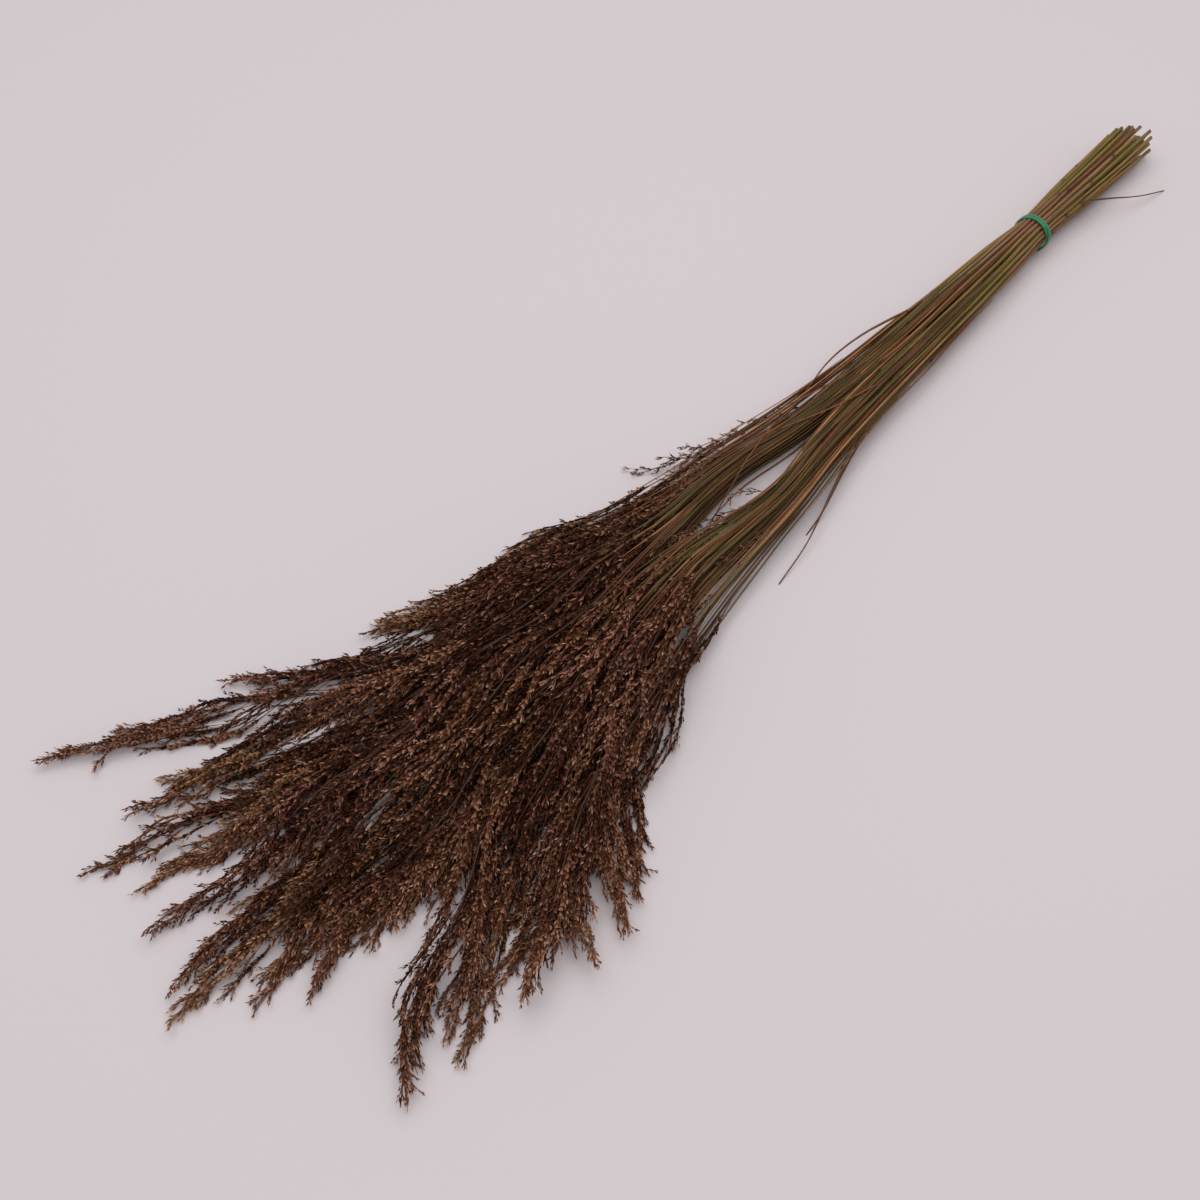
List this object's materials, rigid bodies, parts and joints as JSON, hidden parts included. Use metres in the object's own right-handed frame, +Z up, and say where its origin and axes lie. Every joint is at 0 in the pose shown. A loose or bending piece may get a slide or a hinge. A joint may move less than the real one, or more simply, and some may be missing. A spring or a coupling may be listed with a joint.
{
  "type": "bundle of reed grass",
  "caption": "Bundle of dried reed grass lying flat: thin culms held by a rubber band, fanning out into dark brown flower plumes.",
  "frame": {"origin": "centre of the footprint on the surface that the bundle lies on", "axes": "+X along the bundle towards the cut ends, +Y across it to the left seen from the cut ends' side of the plume, +Z up"},
  "size_m": [0.78, 0.2662, 0.0369],
  "materials": {
    "dried_reed": "matt, dried culms in olive and tan with dark brown plumes",
    "dry_leaf": "matt, papery orange-brown",
    "green_rubber": "satin"
  },
  "bodies": {
    "root": {"leaf_blade_1": "dry_leaf", "leaf_blade_2": "dry_leaf", "leaf_blade_3": "dry_leaf", "leaf_blade_4": "dry_leaf", "leaf_blade_5": "dry_leaf", "leaf_blade_6": "dry_leaf", "reed_01": "dried_reed", "reed_02": "dried_reed", "reed_03": "dried_reed", "reed_04": "dried_reed", "reed_05": "dried_reed", "reed_06": "dried_reed", "reed_07": "dried_reed", "reed_08": "dried_reed", "reed_09": "dried_reed", "reed_10": "dried_reed", "reed_11": "dried_reed", "reed_12": "dried_reed", "reed_13": "dried_reed", "reed_14": "dried_reed", "reed_15": "dried_reed", "reed_16": "dried_reed", "reed_17": "dried_reed", "reed_18": "dried_reed", "reed_19": "dried_reed", "reed_20": "dried_reed", "reed_21": "dried_reed", "reed_22": "dried_reed", "reed_23": "dried_reed", "reed_24": "dried_reed", "reed_25": "dried_reed", "reed_26": "dried_reed", "reed_27": "dried_reed", "reed_28": "dried_reed", "reed_29": "dried_reed", "reed_30": "dried_reed", "reed_31": "dried_reed", "reed_32": "dried_reed", "reed_33": "dried_reed", "reed_34": "dried_reed", "reed_35": "dried_reed", "reed_36": "dried_reed", "reed_37": "dried_reed", "reed_38": "dried_reed", "reed_39": "dried_reed", "reed_40": "dried_reed", "reed_41": "dried_reed", "reed_42": "dried_reed", "reed_43": "dried_reed", "reed_44": "dried_reed", "reed_45": "dried_reed", "reed_46": "dried_reed", "reed_47": "dried_reed", "reed_48": "dried_reed", "rubber_band": "green_rubber"}
  },
  "joints": []
}
